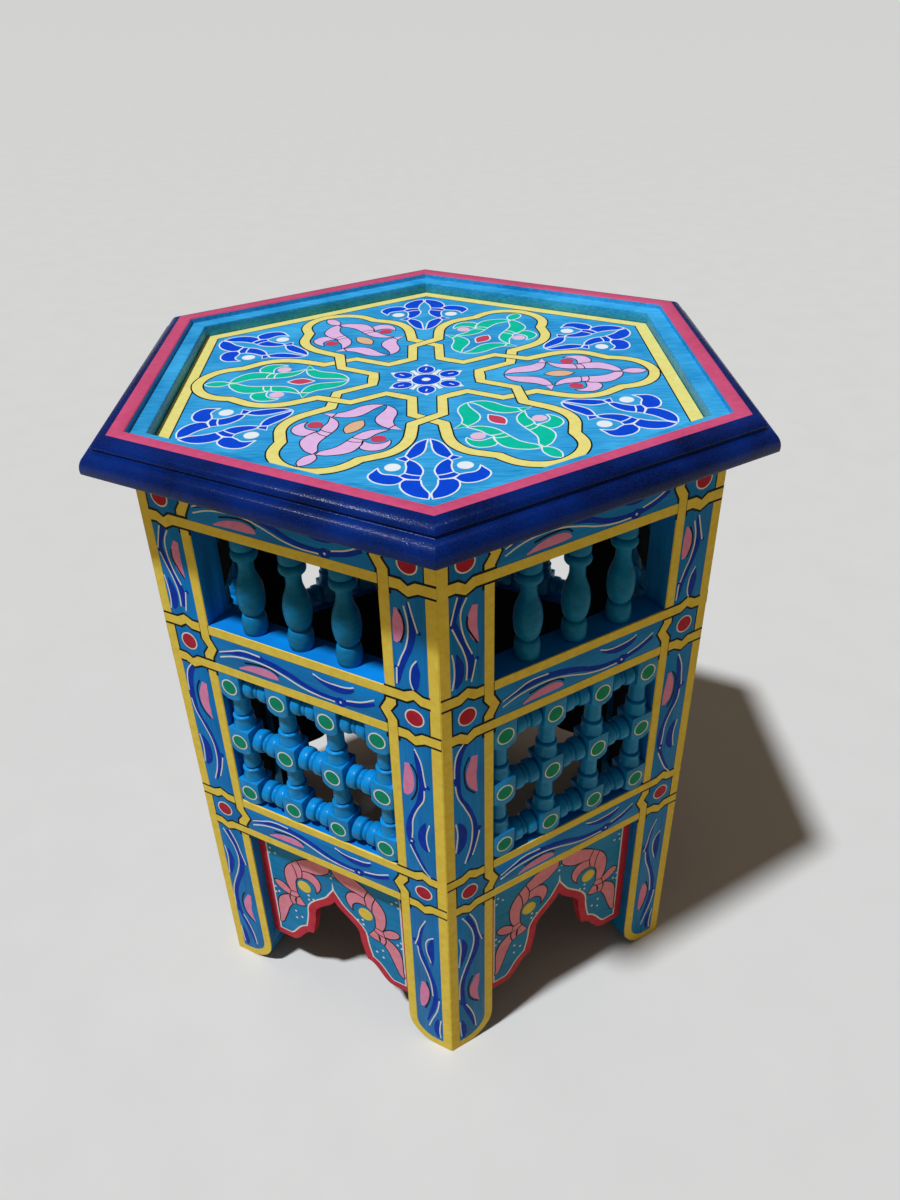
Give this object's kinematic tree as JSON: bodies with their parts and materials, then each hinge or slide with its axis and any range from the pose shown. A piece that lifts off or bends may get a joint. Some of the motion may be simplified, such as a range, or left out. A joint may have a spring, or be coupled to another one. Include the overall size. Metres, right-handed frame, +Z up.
{
  "type": "side table",
  "caption": "Hexagonal side table of painted wood with a moulded sunk top, turned baluster galleries, turned lattice sides and cusped arched aprons.",
  "frame": {"origin": "on the floor under the middle of the table", "axes": "+Z up; -Y towards the corner leg that faces the viewer; +X to the viewer's right, square to one side"},
  "size_m": [0.3852, 0.4448, 0.45],
  "materials": {
    "leg_paint": "hand-painted softwood, turquoise ground with yellow bands and blue scrolls, satin varnish",
    "rail_paint": "hand-painted softwood, turquoise ground with yellow bands and blue scrolls, satin varnish",
    "baluster_paint": "turned softwood, plain turquoise paint, satin varnish",
    "lattice_paint": "turned softwood, turquoise paint with green dots in white rings, satin varnish",
    "apron_paint": "thin board, turquoise paint with a red edge and pink flowers, satin varnish",
    "frame_paint": "moulded softwood, navy gloss paint outside, red rim, turquoise inner ledge",
    "panel_paint": "flat board painted with an interlaced rosette in yellow, pink, green and blue, satin varnish"
  },
  "bodies": {
    "root": {"leg_1": "leg_paint", "leg_2": "leg_paint", "leg_3": "leg_paint", "leg_4": "leg_paint", "leg_5": "leg_paint", "leg_6": "leg_paint", "top_rail_1": "rail_paint", "top_rail_2": "rail_paint", "top_rail_3": "rail_paint", "top_rail_4": "rail_paint", "top_rail_5": "rail_paint", "top_rail_6": "rail_paint", "middle_rail_1": "rail_paint", "middle_rail_2": "rail_paint", "middle_rail_3": "rail_paint", "middle_rail_4": "rail_paint", "middle_rail_5": "rail_paint", "middle_rail_6": "rail_paint", "lower_rail_1": "rail_paint", "lower_rail_2": "rail_paint", "lower_rail_3": "rail_paint", "lower_rail_4": "rail_paint", "lower_rail_5": "rail_paint", "lower_rail_6": "rail_paint", "baluster_1_1": "baluster_paint", "baluster_1_2": "baluster_paint", "baluster_1_3": "baluster_paint", "baluster_2_1": "baluster_paint", "baluster_2_2": "baluster_paint", "baluster_2_3": "baluster_paint", "baluster_3_1": "baluster_paint", "baluster_3_2": "baluster_paint", "baluster_3_3": "baluster_paint", "baluster_4_1": "baluster_paint", "baluster_4_2": "baluster_paint", "baluster_4_3": "baluster_paint", "baluster_5_1": "baluster_paint", "baluster_5_2": "baluster_paint", "baluster_5_3": "baluster_paint", "baluster_6_1": "baluster_paint", "baluster_6_2": "baluster_paint", "baluster_6_3": "baluster_paint", "lattice_1": "lattice_paint", "lattice_2": "lattice_paint", "lattice_3": "lattice_paint", "lattice_4": "lattice_paint", "lattice_5": "lattice_paint", "lattice_6": "lattice_paint", "apron_1": "apron_paint", "apron_2": "apron_paint", "apron_3": "apron_paint", "apron_4": "apron_paint", "apron_5": "apron_paint", "apron_6": "apron_paint", "top_frame": "frame_paint", "top_panel": "panel_paint"}
  },
  "joints": []
}
